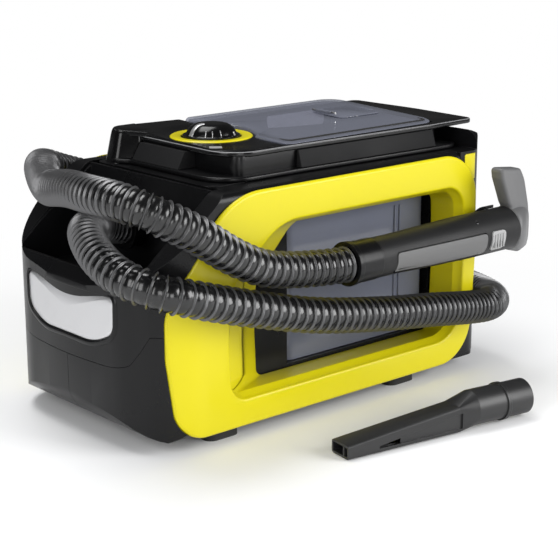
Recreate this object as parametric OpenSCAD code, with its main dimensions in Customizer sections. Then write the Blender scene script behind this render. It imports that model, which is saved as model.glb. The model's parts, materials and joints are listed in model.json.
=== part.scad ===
// Spot extractor: a carry-around spray-extraction cleaner for carpets and upholstery.
// Frame: +X towards the battery end, -Y is the side the wand hangs on, +Z up.
// Origin: on the floor under the middle foot, on the machine's centre plane.

/* [Casing] */
// Half of the machine's width, to the outer face of a side frame
half_w = 125; // [124:0.5:128]
// Height of the casing's underside above the floor
clearance = 12; // [10:0.5:14]
// Height of the side frames' top edge
frame_top = 236; // [234:0.5:236]
// Height of the top flange of the carrying rim
rim_top = 264; // [263:0.5:265]
// Wall thickness of the black casing shells
wall = 3; // [2.5:0.1:3.2]

/* [Tanks] */
// Half of the width of both tanks
tank_half_w = 77; // [72:0.5:77.5]
// Wall thickness of the clear tanks
tank_wall = 2.4; // [2:0.1:2.8]
// Height of the recovery tank's top edge
recovery_top = 190; // [184:0.5:191]
// Underside of the fresh-water tank
fresh_bottom = 205; // [203:0.5:208]

/* [Knob] */
// Outer radius of the yellow ring round the knob
ring_r = 41; // [38:0.5:42]
// Radius of the knob's foot
knob_r = 29; // [26:0.5:30]
// Height of the knob's grip above its foot
knob_h = 13.5; // [12:0.5:15]

/* [Hose and wand] */
// Outer radius of the suction hose
hose_r = 17; // [15:0.5:17.5]
// Wall thickness of the suction hose
hose_wall = 2.2; // [1.8:0.1:2.6]
// Number of sides of the hose's round section
hose_sides = 14; // [10:2:16]
// Radius of the wand's tube at its wide end
wand_r = 22.5; // [22:0.1:22.8]

/* [Crevice nozzle] */
// Length of the crevice nozzle
crevice_len = 216; // [200:1:225]
// Outer radius of its socket
socket_r = 17.5; // [16:0.5:18]

/* [Hidden] */
$fn = 40;
slack = 0.3;                         // gap between neighbouring pieces
side_y = half_w + hose_r + 6;        // centre of the hose alongside the machine
skin_back = half_w - 4.1;            // back of a side frame's skin
shell_y = skin_back - 0.4;           // outer face of the black casing's sides
funnel_y = 84;                       // inner end of a window funnel
seam_x = -140;                       // joint between the front shells and the chassis
corner_r = 64;                       // radius of the badge end's upright corners, in plan
bend_x = -144.5;                     // where those corners begin
seat_gap = 0.5;                      // gap round a side frame let into the front shells
seat_play = 1.3;                     // extra room behind a side frame on the rounded corners
chassis_end = 197;                   // rear wall of the chassis
rear_x = 238;                        // rear face of the machine
rear_top = 256;                      // top of the rear wall
shoulder_z = frame_top + 1;          // top of the casing's shoulders
knob_x = -35;                        // axis of the knob
deck_z = rim_top + 2;                // top of the deck
pan_top = clearance + 5.6;           // top of the base pan
floor_z = clearance + 9;             // top of the chassis floor
shelf_z = 44;                        // shelf under the recovery tank
opening_x0 = -8;                     // tank opening in the rim, badge end
opening_x1 = 200;                    // tank opening in the rim, battery end
opening_y = tank_half_w + 3;         // tank opening in the rim, half width
port_y = 8;                          // suction port centre
port_z = 190;
wand_y = -(half_w + 28);             // wand axis
wand_z = 158;
wand_x = 35.5;                       // hose end of the wand's tube
motor_x = -98;                       // motor and fan axis
motor_y = 22;
bay_half = 40;                       // battery bay, half width
bay_z0 = 139;
bay_z1 = 207;
pin_x = 172;                         // trigger pin
pin_y = wand_y - 14.5;
float_x = 60;                        // float axis
flap_x0 = 118;                       // filler flap
flap_x1 = 176;
flap_z = rim_top + 10.2;
valve_x = 28;                        // outlet valve of the fresh tank

// ---------- outline helpers ----------
function unit(v) = v / norm(v);
function flat(p) = [p[0], p[1]];

// Outline with rounded corners; each corner is [x, y, radius], in counter-clockwise order
function rounded(c, n = 8) = [
    for (i = [0 : len(c) - 1])
        let (q = flat(c[i]),
             u = unit(flat(c[(i + len(c) - 1) % len(c)]) - q),
             w = unit(flat(c[(i + 1) % len(c)]) - q),
             half = acos(u * w) / 2,
             mid = q + unit(u + w) * c[i][2] / sin(half),
             t0 = q + u * c[i][2] / tan(half) - mid,
             t1 = q + w * c[i][2] / tan(half) - mid,
             a0 = atan2(t0[1], t0[0]),
             turn = ((atan2(t1[1], t1[0]) - a0 + 540) % 360) - 180)
        for (k = [0 : n]) mid + c[i][2] * [cos(a0 + turn * k / n), sin(a0 + turn * k / n)]];

// Outline moved outwards by d along its own normals
function grow(p, d) = [
    for (i = [0 : len(p) - 1])
        let (t = unit(p[(i + 1) % len(p)] - p[(i + len(p) - 1) % len(p)]))
        p[i] + d * [t[1], -t[0]]];

// Corners of a rounded rectangle
function box_corners(x0, y0, x1, y1, r) = [[x0, y0, r], [x1, y0, r], [x1, y1, r], [x0, y1, r]];

// How far the casing's side has curved inwards at x
function drop(x) = x < bend_x ? corner_r - sqrt(pow(corner_r, 2) - pow(bend_x - x, 2)) : 0;

// X-Z outline lifted to y = -depth, following the rounded corners of the badge end
function at_depth(p, depth) = [for (q = p) [q[0], drop(q[0]) - depth, q[1]]];

// Outline a fraction t of the way from p to q, which have the same number of points
function between(p, q, t) = [for (i = [0 : len(p) - 1]) p[i] * (1 - t) + q[i] * t];

module side_slab(p, y0, y1) translate([0, y1, 0]) rotate([90, 0, 0]) linear_extrude(y1 - y0) polygon(p);
module plan_slab(p, z0, z1) translate([0, 0, z0]) linear_extrude(z1 - z0) polygon(p);
module cross_slab(p, x0, x1) translate([x0, 0, 0]) rotate([90, 0, 90]) linear_extrude(x1 - x0) polygon(p);
module block(a, b) translate(a) cube(b - a);
module both_sides() {
    children();
    mirror([0, 1, 0]) children();
}
module along_x(x0, x1, r, r2 = 0) translate([x0, 0, 0]) rotate([0, 90, 0])
    cylinder(h = x1 - x0, r1 = r, r2 = r2 > 0 ? r2 : r);

// Closed skin through a cycle of loops that all have the same number of points
module ring_skin(loops) {
    m = len(loops);
    n = len(loops[0]);
    polyhedron(points = [for (l = loops) for (p = l) p],
        faces = [for (i = [0 : m - 1]) for (k = [0 : n - 1])
            let (a = i * n + k, b = i * n + (k + 1) % n,
                 c = ((i + 1) % m) * n + (k + 1) % n, d = ((i + 1) % m) * n + k)
            for (f = [[a, b, c], [a, c, d]]) f]);
}

// ---------- outlines ----------
// Side frame, seen from the side
frame_outline = rounded([[-182, 91, 80], [-173.5, clearance + 0.5, 32], [214, clearance + 0.5, 46],
    [221, 120, 300], [219, frame_top, 48], [-113, frame_top, 75], [-148.3, frame_top - 46.4, 1150],
    [-182, frame_top - 94, 60]], 12);
// Window edge on the outer face, and where its funnel ends inside
window_outline = rounded([[-116.5, 92, 150], [-114, 39.5, 20], [198, 39.5, 36], [200.5, 120, 150],
    [198.5, 202.5, 24], [-52, 202.5, 60], [-83.5, 175.8, 1000], [-114, 148, 40]], 12);
funnel_outline = rounded([[-52.5, 88, 100], [-50.5, 41, 8], [193, 41, 10], [195.5, 115, 150],
    [193, 191, 10], [0, 191, 40], [-25.8, 164.5, 900], [-50.5, 137, 30]], 12);
// Casing: side view of the badge end, plan view of it, and its cross-section
front_profile = rounded([[-100, clearance, 2], [-100, shoulder_z + 4, 2], [-112, shoulder_z + 4, 20],
    [-214, 153, 30], [-214, clearance, 42]]);
front_plan = rounded([[-100, -half_w, 1], [-100, half_w, 1], [-203, half_w, corner_r], [-214, 0, 400],
    [-203, -half_w, corner_r]], 12);
cross_outline = rounded([[-shell_y, clearance, 16], [shell_y, clearance, 16],
    [shell_y, shoulder_z, 9], [-shell_y, shoulder_z, 9]]);
arm_outline = rounded([[-half_w, clearance, 18], [half_w, clearance, 18],
    [half_w, shoulder_z + 4, 7], [-half_w, shoulder_z + 4, 7]]);
// Rim flanges in plan; the far badge-end corner bulges round the riser
top_flange = rounded([[-80, 56, 6], [-82, -87, 34], [-10, -86, 90], [185, -92, 120], [250, -90, 10],
    [254, 0, 300], [250, 90, 10], [185, 92, 120], [-10, 90, 90], [-92, 96, 14], [-100, 72, 8]]);
low_flange = rounded([[-95, 54, 6], [-96, -92, 38], [0, -92, 120], [170, -98, 120], [224, -98, 20],
    [224, 98, 20], [170, 98, 120], [0, 95, 120], [-106, 98, 16], [-112, 70, 8]]);
deck_outline = rounded([[-79, 57, 6], [-79, -82, 32], [-10, -80, 3], [-10, 84, 3], [-90, 92, 12],
    [-97, 72, 7]]);

// Upright cylinder on the knob's axis; the tanks and their lids are hollowed round it
module knob_column(r, z0 = 0, z1 = 300) translate([knob_x, 0, z0]) cylinder(h = z1 - z0, r = r, $fn = 96);

// Solid envelope of the badge end, inset by d
module front_core(d) intersection() {
    side_slab(grow(front_profile, -d), -130, 130);
    plan_slab(grow(front_plan, -d), 0, 260);
    cross_slab(grow(arm_outline, -d), -230, -90);
}

// Space outside the face that a side frame lies against, in plan
function seat_plan(d) = concat([[-90, -140], [-90, d - shell_y + seat_play]],
    [for (x = [bend_x : -4.5 : bend_x - 54]) [x, drop(x) + d - shell_y + seat_play]],
    [[bend_x - 55, -140]]);

// The same envelope with both side frames let in
module front_envelope(d) difference() {
    front_core(d);
    both_sides() intersection() {
        side_slab(grow(frame_outline, seat_gap + d), -140, -80);
        plan_slab(seat_plan(d), 0, 260);
    }
}

// Space above the seam that runs round the badge end
module above_seam(gap) side_slab([[-230, 79 + gap], [-209, 80 + gap], [-203, 86 + gap],
    [-192, 114 + gap], [-130, 114 + gap], [-130, 260], [-230, 260]], -130, 130);

// ---------- casing ----------
module base_pan() color("#1b1b1d") difference() {
    plan_slab(rounded(box_corners(seam_x + 1, -116, 236, 116, 14)), clearance, pan_top);
    for (x = [-60, 60])
        for (y = [-60 : 12 : 60])
            block([x - 20, y - 2, clearance - 1], [x + 20, y + 2, pan_top + 1]);
}

// A foot near each corner, and one under the middle of the pan at the origin
module rubber_feet() color("#101010")
    for (p = [[-112, -100], [-112, 100], [128, -100], [128, 100], [0, 0]])
        plan_slab(rounded(box_corners(p[0] - 19, p[1] - 11, p[0] + 19, p[1] + 11, 9)), 0, clearance - 0.3);

module lower_shell(sign) difference() {
    front_envelope(0);
    front_envelope(wall);
    above_seam(-0.5);
    block([seam_x, -130, 0], [0, 130, 260]);
    translate([0, sign > 0 ? -130 : -0.25, 0]) block([-230, 0, 0], [-90, 130.25, 260]);
}

module lower_shell_left() color("#2b2b2d") lower_shell(-1);
module lower_shell_right() color("#2b2b2d") lower_shell(1);

module upper_front_shell() color("#2b2b2d") difference() {
    intersection() {
        difference() {
            front_envelope(0);
            front_envelope(wall);
        }
        above_seam(0);
    }
    block([seam_x, -130, 0], [0, 130, 260]);
    block([-230, -98, 163], [-90, 98, 260]);
    // recess that the badge plate sits in
    intersection() {
        cross_slab(grow(badge_outline, 0.8), -230, -200);
        difference() {
            front_core(-1);
            front_core(1.6);
        }
    }
}

badge_outline = rounded([[-70, 146, 6], [-69, 112, 16], [-42, 100, 60], [42, 100, 60], [69, 112, 16],
    [70, 146, 6]]);

module badge_plate() color("#c9c9c9") intersection() {
    cross_slab(badge_outline, -230, -200);
    difference() {
        front_core(0.3);
        front_core(1.4);
    }
}

// Pocket in the badge end: lip, sloping front, floor and the tower's front wall, with side cheeks
module hose_tray() color("#202022") difference() {
    intersection() {
        union() {
            side_slab([[-216, 163.3], [-204, 163.3], [-198.5, 142], [-126.5, 142], [-110.5, 236],
                [-113.5, 236], [-129.5, 145], [-196, 145], [-202, 166.3], [-216, 166.3]], -97.5, 97.5);
            both_sides() side_slab([[-204, 163.3], [-198.5, 142], [-126.5, 142], [-110.5, 236],
                [-118, 231], [-204, 163.5]], 94.5, 97.5);
        }
        union() {
            front_core(wall + 0.3);
            intersection() {
                front_core(0.2);
                block([-230, -97.5, 163.2], [-100, 97.5, 260]);
            }
        }
    }
    translate([0, port_y, port_z]) along_x(-140, -100, 22);
}

module side_frame() {
    edge = grow(frame_outline, -3);
    lip = grow(window_outline, 2.6);
    back = grow(window_outline, 3);
    ring_skin(concat([
        at_depth(frame_outline, skin_back),
        at_depth(frame_outline, half_w - 2.6),
        at_depth(grow(frame_outline, -0.9), half_w - 0.8)],
        [for (i = [0 : 6]) at_depth(between(edge, lip, i / 6), half_w)],
        [at_depth(grow(window_outline, 0.8), half_w - 0.7),
        at_depth(window_outline, half_w - 2.6),
        at_depth(funnel_outline, funnel_y),
        at_depth(grow(funnel_outline, 2.4), funnel_y)],
        [for (i = [0 : 5]) at_depth(between(back, frame_outline, i / 6), skin_back)]));
}

module side_frame_left() color("#eee022") side_frame();
module side_frame_right() color("#eee022") mirror([0, 1, 0]) side_frame();

// Tub between the badge end and the rear: side walls with window holes, floor, shelf, bulkhead
module main_chassis() color("#161618") {
    difference() {
        chassis_block(0);
        difference() {
            chassis_block(wall);
            block([-200, -130, 0], [chassis_end + 1, 130, floor_z]);
            block([chassis_end - wall, -130, 0], [chassis_end + 9, 130, 260]);
        }
        block([-200, -130, 0], [chassis_end + 1, 130, pan_top + 0.4]);
        side_slab(grow(window_outline, 5), -130, 130);
        plan_slab(rounded(box_corners(-109.5, -90, chassis_end + 20, 90, 4)), floor_z, 260);
        block([-200, -98, floor_z], [-105, 98, 260]);
        plan_slab(rounded(box_corners(-130, 50, -80, 98.5, 11)), floor_z, 260);
        block([chassis_end - wall - 1, -116, floor_z], [chassis_end + 1, 116, shoulder_z - wall]);
    }
    // shelf on two webs
    block([-55, -82, shelf_z - 5], [chassis_end - wall, 82, shelf_z]);
    both_sides() block([-55, 79, floor_z - 1], [chassis_end - wall, 82, shelf_z - 4]);
    // bulkhead box beside the tank
    difference() {
        block([-55, -82, shelf_z - 1], [-8.5, 82, 200]);
        block([-52, -79, shelf_z - 6], [-11.5, 79, 197]);
    }
    block([chassis_end - wall, -81, floor_z - 1], [chassis_end, 81, fresh_bottom - 2]);
}

module chassis_block(d) intersection() {
    cross_slab(grow(cross_outline, -d), seam_x + 0.4, chassis_end);
    side_slab(grow(rounded([[-160, 0, 1], [230, 0, 1], [230, shoulder_z, 1], [-116, shoulder_z, 20],
        [-160, shoulder_z - 38, 1]]), -d), -130, 130);
}

// Box under the rim at the badge end, with the rounded riser at its far corner
module tower_housing() color("#1b1b1d") difference() {
    union() {
        plan_slab(rounded(box_corners(-107, -88, -10, 88, 12)), 204, shoulder_z);
        plan_slab(rounded(box_corners(-108.5, 58, -84, 96, 11)), 204, shoulder_z);
    }
    plan_slab(rounded(box_corners(-104, -85, -13, 85, 10)), 200, shoulder_z - 3);
    translate([knob_x, 0, 200]) cylinder(h = 60, r = 20);
}

module carry_rim() color("#19191b") {
    // lower flange, with room for the knob switch and the tanks
    difference() {
        plan_slab(low_flange, shoulder_z + 0.3, shoulder_z + 5);
        plan_slab(rounded(box_corners(opening_x0, -opening_y, opening_x1, opening_y, 4)), 200, 300);
        plan_slab(rounded(box_corners(-66, -60, -14, 60, 8)), 200, 300);
    }
    difference() {
        plan_slab(top_flange, rim_top - 5, rim_top);
        plan_slab(rounded(box_corners(opening_x0, -opening_y, opening_x1, opening_y, 4)), 200, 300);
        plan_slab(rounded(box_corners(-66, -60, -14, 60, 8)), 200, 300);
    }
    // web between the flanges
    difference() {
        plan_slab(rounded(box_corners(-72, -opening_y - 3, opening_x1 + 3, opening_y + 3, 10)),
            shoulder_z + 4, rim_top - 4);
        plan_slab(rounded(box_corners(opening_x0, -opening_y, opening_x1, opening_y, 4)), 200, 300);
        plan_slab(rounded(box_corners(-66, -opening_y, -11, opening_y, 8)), 200, 300);
    }
    // solid band round the riser
    plan_slab(rounded(box_corners(-99, 62, -72, 93, 10)), shoulder_z + 4, rim_top - 4);
}

// Grey grip pads: one on the badge end, one on each side
module grip_inlays() color("#3d3d3d") {
    pad([[-93.5, -21], [-93.5, 52]], [[-84, -20], [-84, 51]], [[-72.5, -21], [-72.5, 52]]);
    pad([[3, -91.2], [185, -96.3]], [[3, -86.2], [185, -90.6]], [[3, -84], [185, -84]]);
    pad([[3, 93.8], [185, 96.3]], [[3, 88.6], [185, 90.6]], [[3, 84], [185, 84]]);
}

// One pad: outer edge at the bottom, outer edge at the top, and its back edge
module pad(low, high, back) hull() {
    for (p = concat(low, back)) translate([p[0], p[1], shoulder_z + 5.3]) cylinder(h = 0.5, r = 0.3, $fn = 8);
    for (p = concat(high, back)) translate([p[0], p[1], rim_top - 5.9]) cylinder(h = 0.5, r = 0.3, $fn = 8);
}

module top_deck() color("#151517") difference() {
    union() {
        plan_slab(deck_outline, rim_top + 0.2, deck_z - 0.6);
        plan_slab(grow(deck_outline, -0.8), deck_z - 0.8, deck_z);
        knob_column(ring_r + 2, rim_top + 0.2, deck_z);
    }
    translate([knob_x, 0, deck_z - 1.6]) cylinder(h = 5, r = ring_r + 0.3, $fn = 96);
    translate([knob_x, 0, 200]) cylinder(h = 99, r = 5.6);
}

module knob_ring() color("#eee022") translate([knob_x, 0, deck_z - 1.4]) rotate_extrude($fn = 96)
    polygon([[knob_r + 1.2, 0], [ring_r, 0], [ring_r, 1.4], [ring_r - 1.4, 2.4], [knob_r + 4, 2.4],
        [knob_r + 1.2, 1.4]]);

// ---------- rear ----------
module rear_block(d) intersection() {
    plan_slab(grow(rounded([[chassis_end + 0.4 - d, -shell_y, 1], [rear_x, -shell_y, 24],
        [rear_x, shell_y, 24], [chassis_end + 0.4 - d, shell_y, 1]]), -d), 0, 300);
    side_slab(grow(rounded([[150, clearance, 1], [rear_x, clearance, 20], [rear_x, rear_top, 14],
        [150, rear_top, 1]]), -d), -130, 130);
    cross_slab(grow(rounded([[-shell_y, clearance, 1], [shell_y, clearance, 1], [shell_y, rear_top, 22],
        [-shell_y, rear_top, 22]]), -d), 150, rear_x + 9);
}

module rear_housing() color("#2b2b2d") difference() {
    rear_block(0);
    difference() {
        rear_block(wall);
        // liner round the battery bay
        block([150, -bay_half - 3, bay_z0 - 3], [rear_x + 9, bay_half + 3, bay_z1 + 3]);
        block([150, -130, shoulder_z - 3], [227, 130, 300]);
    }
    block([150, -130, 0], [236.5, 130, pan_top + 0.4]);
    // step under the rim, open at the sides for the fingers
    block([150, -130, shoulder_z], [226, 130, 300]);
    // room for the ends of the window funnels
    both_sides() side_slab(grow(window_outline, 5), 81, 130);
    // battery bay
    block([150, -bay_half, bay_z0], [rear_x + 9, bay_half, bay_z1]);
    // seats of the yellow trims
    both_sides() side_slab(grow(trim_outline, 0.4), shell_y - 1.2, shell_y + 9);
}

trim_outline = rounded([[204, 207, 2], [228, 207, 2], [228, 234, 3], [204, 234, 2]]);

module bay_trims() color("#eee022") both_sides() intersection() {
    side_slab(trim_outline, shell_y - 1, shell_y + 1);
    difference() {
        rear_block(-0.2);
        rear_block(1);
    }
}

module battery_terminals() color("#3a3a3c") {
    block([chassis_end + 0.3, -24, 158], [chassis_end + 2.4, 24, 186]);
    for (y = [-15, 0, 15])
        block([chassis_end + 2.2, y - 2, 164], [chassis_end + 6, y + 2, 180]);
}

module exhaust_grille() color("#1b1b1d") difference() {
    cross_slab(rounded(box_corners(-52, 26, 52, 60, 5)), rear_x + 0.2, rear_x + 3);
    for (z = [31 : 5 : 56])
        block([rear_x - 1, -46, z - 1.3], [rear_x + 9, 46, z + 1.3]);
}

module casing_screws() color("#8a8a8c") {
    for (y = [-92, 92])
        for (z = [48, 215])
            translate([rear_x + 0.2, y, z]) difference() {
                along_x(0, 1.8, 4);
                along_x(1, 3, 1.8);
            }
    for (x = [10, 180])
        for (y = [-96, 96])
            translate([x, y, clearance - 2.2]) cylinder(h = 2, r = 4);
}

module hose_hook() color("#1b1b1d") {
    block([rear_x + 0.2, -15, 61.5], [rear_x + 3.2, 15, 120]);
    block([rear_x + 3, -11, 61.5], [rear_x + 46, 11, 65.5]);
    block([rear_x + 43, -11, 65], [rear_x + 46, 11, 82]);
}

module suction_port() color("#1b1b1d") translate([0, port_y, port_z]) difference() {
    union() {
        along_x(-141, -107.6, 21.5);
        along_x(-112.6, -109, 27);
        along_x(-141, -137, 23.5);
    }
    along_x(-150, -108.4, hose_r + 0.9);
    along_x(-150, -90, 13);
}

// ---------- hose ----------
route = [[-109, port_y, port_z], [-125, port_y, port_z], [-141, port_y, port_z + 0.3],
    [-172, 4, 196], [-201, -22, 198],
    [-218, -62, 187], [-222, -102, 176], [-209, -134, 167], [-179, -side_y, 157],
    [-110, -side_y, 135], [-30, -side_y, 113], [60, -side_y, 97], [130, -side_y, 87.5],
    [187, -side_y, 79], [219, -146, 76], [244, -129.5, 75], [257, -96, 75.5], [260, -50, 79],
    [262, 0, 85], [260, 52, 93], [257, 96, 103], [244, 129.5, 113], [219, 146, 122],
    [185, side_y, 131], [100, side_y, 155],
    [0, side_y, 186], [-70, side_y, 206], [-113, side_y, 220], [-137, 143.5, 229], [-155, 122, 232],
    [-171, 92, 227], [-187, 58, 226], [-205, 20, 234], [-219, -26, 242],
    [-229, -74, 245.5], [-227, -114, 245], [-210, -139, 235.5],
    [-174, -side_y, 215], [-132, -side_y, 188], [-97, -side_y, 171], [-62, -side_y, 163],
    [-26, -side_y - 2, 159], [0, wand_y, wand_z], [wand_x - 8.5, wand_y, wand_z]];

function spline(a, b, c, d, t) = 0.5 * (2 * b + (c - a) * t + (2 * a - 5 * b + 4 * c - d) * t * t
    + (3 * b - a - 3 * c + d) * t * t * t);
function station(i) = route[max(0, min(len(route) - 1, i))];
steps = 3;
centres = concat([for (i = [0 : len(route) - 2]) for (k = [0 : steps - 1])
    spline(station(i - 1), station(i), station(i + 1), station(i + 2), k / steps)],
    [route[len(route) - 1]]);
// Loop of points round the centre line; the section keeps one axis level, which never
// degenerates because the hose never runs straight up
function hose_loop(i, r) =
    let (last = len(centres) - 1,
         t = unit(centres[min(last, i + 1)] - centres[max(0, i - 1)]),
         level = unit([t[1], -t[0], 0]),
         up = cross(level, t))
    [for (k = [0 : hose_sides - 1])
        centres[i] + r * (cos(360 * k / hose_sides) * level + sin(360 * k / hose_sides) * up)];

module hose() color("#121214")
    ring_skin(concat([for (i = [0 : len(centres) - 1]) hose_loop(i, hose_r)],
        [for (i = [len(centres) - 1 : -1 : 0]) hose_loop(i, hose_r - hose_wall)]));

module hose_cuff() color("#1b1b1d") translate([0, wand_y, wand_z]) difference() {
    union() {
        along_x(wand_x - 32.5, wand_x - 0.5, 20.5);
        along_x(wand_x - 32.5, wand_x - 27.5, 21.5);
    }
    along_x(-10, wand_x - 8, hose_r + 0.6);
    along_x(-10, 60, 12);
}

// ---------- wand ----------
module wand_tube() translate([0, wand_y, wand_z]) union() {
    along_x(wand_x, 60, 19.8);
    along_x(60, 160, 19.8, wand_r);
    along_x(160, 231, wand_r);
    along_x(231, 243.5, 17.5);
}

module wand_hollows() {
    translate([0, wand_y + 5.5, wand_z]) along_x(30, 250, 10.5);
    // slot for the trigger
    side_slab(rounded(box_corners(52.8, 141.5, 181.2, 164.5, 4)), wand_y - 40, wand_y - 5.2);
    // bore of the trigger's pin
    translate([pin_x, pin_y, 130]) cylinder(h = 60, r = 1.65);
    // pocket for the release button
    side_slab(rounded(box_corners(186.5, 143.5, 207.5, 164.5, 4)), wand_y - 40, wand_y - 13);
}

module wand_shell_near() color("#3a3a3c") difference() {
    wand_tube();
    wand_hollows();
    block([0, wand_y - 0.05, 100], [300, wand_y + 60, 220]);
}

module wand_shell_far() color("#3a3a3c") difference() {
    wand_tube();
    wand_hollows();
    block([0, wand_y - 60, 100], [300, wand_y + 0.05, 220]);
}

module trigger_pin() color("#b0b0b2") translate([pin_x, pin_y, 142]) cylinder(h = 32, r = 1.6);

module trigger() color("#6e6e70") difference() {
    union() {
        intersection() {
            side_slab(rounded(box_corners(54, 142.5, 180, 163.5, 3.5)), wand_y - 24, wand_y - 15.3);
            translate([0, wand_y, wand_z]) union() {
                along_x(50, 60, 20.6);
                along_x(60, 160, 20.6, wand_r + 0.8);
                along_x(160, 190, wand_r + 0.8);
            }
        }
        translate([pin_x, pin_y, 143]) cylinder(h = 20, r = 4.5);
    }
    translate([pin_x, pin_y, 130]) cylinder(h = 60, r = 1.65);
    block([57, wand_y - 17.5, 146], [160, wand_y - 10, 160]);
}

module nozzle_button() color("#a0a0a2") {
    intersection() {
        side_slab(rounded(box_corners(187, 144, 207, 164, 3.5)), wand_y - 24.5, wand_y - 17);
        translate([0, wand_y, wand_z]) along_x(180, 215, wand_r + 1.4);
    }
    for (x = [191 : 4 : 203])
        block([x - 0.8, wand_y - 24.6, 147], [x + 0.8, wand_y - 20, 161]);
}

// Clip on the side frame that grips the wand's back
module wand_clip() color("#1b1b1d") difference() {
    union() {
        translate([0, wand_y, wand_z]) along_x(206, 218, wand_r + 3.4);
        block([206, wand_y + wand_r, 148], [218, -half_w - 0.2, 168]);
    }
    translate([0, wand_y, wand_z]) along_x(200, 230, wand_r + 0.4);
    block([200, wand_y - 60, 100], [230, wand_y + 4, 220]);
}

// Flat hood whose mouth faces away from the wand
nozzle_profile = rounded([[231.6, 135, 3], [248, 130.5, 8], [261.5, 136, 6], [262, 176, 60],
    [253, 209, 40], [246, 220, 4], [215, 223.5, 4], [217, 212, 8], [229, 184, 12], [231.6, 180.5, 1]], 4);

module upholstery_nozzle() color("#48484a") difference() {
    union() {
        translate([0, wand_y, 0]) side_slab(nozzle_profile, -8, 8);
        translate([0, wand_y, wand_z]) along_x(231.6, 254, 22.5, 14);
    }
    // socket for the wand's neck, then the duct to the mouth
    translate([0, wand_y, wand_z]) along_x(230, 244.3, 17.8);
    translate([0, wand_y, wand_z]) along_x(240, 256, 7);
    translate([0, wand_y, 0]) side_slab(rounded([[248, 140, 4], [280, 140, 4], [280, 212, 4],
        [248, 212, 4]]), -5, 5);
}

// ---------- crevice nozzle, lying in front of the machine ----------
crevice_start = [-64.5, -218];       // middle of its mouth on the floor
crevice_turn = -9.4;                 // its direction from +X

module crevice_nozzle() color("#39393b")
    translate([crevice_start[0], crevice_start[1], 0]) rotate([0, 0, crevice_turn]) difference() {
        union() {
            hull() {
                cross_slab(rounded(box_corners(-13.5, 1, 13.5, 14, 2), 3), 0, 1);
                cross_slab(rounded(box_corners(-12.5, 1, 12.5, 27, 3), 3), 130, 131);
            }
            hull() {
                cross_slab(rounded(box_corners(-12.5, 1, 12.5, 27, 3), 3), 129, 130);
                translate([0, 0, socket_r + 1.4]) along_x(150, 151, socket_r, $fn = 32);
            }
            translate([0, 0, socket_r + 1.4]) {
                along_x(150, crevice_len, socket_r);
                along_x(184, 188, socket_r + 1.4);
            }
        }
        translate([0, 0, socket_r + 1.4]) along_x(170, crevice_len + 9, socket_r - 2.2);
        translate([0, 0, socket_r - 1]) along_x(120, 180, 7);
        block([-1, -4.5, 3], [60, 11.5, 12]);
        block([-1, -11.5, 3], [60, -6.5, 12]);
        block([50, -10, 4], [135, 10, 11]);
        // tapered panel let into each flank
        both_sides() side_slab([[35, 5], [132, 5], [132, 20.5], [35, 7.5]], -17, -11.3);
    }

// ---------- drive ----------
module motor_can() color("#77797c") translate([motor_x, motor_y, 0]) difference() {
    translate([0, 0, 58]) cylinder(h = 64, r = 33);
    translate([0, 0, 62]) cylinder(h = 56, r = 30);
    translate([0, 0, 50]) cylinder(h = 90, r = 11.1);
}

module motor_mount() color("#101010") translate([motor_x, motor_y, 54.3]) difference() {
    cylinder(h = 3.4, r = 30);
    translate([0, 0, -1]) cylinder(h = 9, r = 16);
}

module shaft_bearings() color("#b0b0b2")
    for (z = [58.5, 117])
        translate([motor_x, motor_y, z]) difference() {
            cylinder(h = 5, r = 11);
            translate([0, 0, -1]) cylinder(h = 9, r = 4.05);
        }

module fan_housing() color("#2b2b2d") translate([motor_x, motor_y, 0]) difference() {
    translate([0, 0, floor_z + 0.4]) cylinder(h = 54 - floor_z - 0.4, r = 40);
    translate([0, 0, floor_z + 3]) cylinder(h = 48 - floor_z, r = 37.4);
    translate([0, 0, 40]) cylinder(h = 30, r = 9);
}

module motor_shaft() color("#b0b0b2") translate([motor_x, motor_y, 0]) {
    translate([0, 0, 27]) cylinder(h = 100, r = 4);
    translate([0, 0, 70]) cylinder(h = 40, r = 22);
}

module impeller() color("#c8c8ca") translate([motor_x, motor_y, 0]) difference() {
    union() {
        translate([0, 0, 29]) cylinder(h = 2, r = 34);
        translate([0, 0, 29]) cylinder(h = 15, r = 8);
        for (a = [0 : 45 : 315])
            rotate([0, 0, a]) block([7, -0.8, 30.5], [33, 0.8, 43]);
    }
    translate([0, 0, 20]) cylinder(h = 40, r = 4);
}

module pump_body() color("#35363a") {
    block([-122, -74, floor_z + 0.4], [-76, -38, 60]);
    translate([-99, -56, 59]) cylinder(h = 12, r = 14);
}

module water_tubes() color("#d8d8da")
    for (y = [-63, -49])
        translate([-99, y, 71.3]) difference() {
            cylinder(h = 128, r = 4);
            translate([0, 0, -1]) cylinder(h = 140, r = 2.5);
        }

module control_switch() color("#2b2b2d") translate([knob_x, 0, 0]) difference() {
    block([-22, -22, shoulder_z + 0.3], [20, 22, 258]);
    translate([0, 0, 248]) cylinder(h = 20, r = 5.05);
}

module circuit_board() color("#1f6b45") {
    block([-61.5, -36, 110], [-59.9, 36, 178]);
    for (y = [-28, 0, 28])
        translate([-59.9, y, 145]) along_x(-0.1, 4.6, 2.2);
}

// ---------- knob ----------
// Round foot with a tall grip bar across it
module knob() color("#141416") translate([knob_x, 0, deck_z + 0.4]) rotate([0, 0, 12]) {
    cylinder(h = 3, r = knob_r);
    hull() {
        for (x = [-knob_r + 8, knob_r - 8])
            translate([x, 0, 0]) cylinder(h = 3, r = 8);
        for (x = [-12, 12])
            translate([x, 0, knob_h - 6]) scale([1, 0.6, 1]) sphere(r = 7, $fn = 24);
    }
}

module knob_pointer() color("#c9c9c9") translate([knob_x, 0, deck_z + knob_h + 1.6]) rotate([0, 0, 12])
    block([-15, -1.6, 0], [-3, 1.6, 1.2]);

module knob_shaft() color("#b0b0b2") translate([knob_x, 0, 250]) cylinder(h = deck_z + 0.3 - 250, r = 5);

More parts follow.
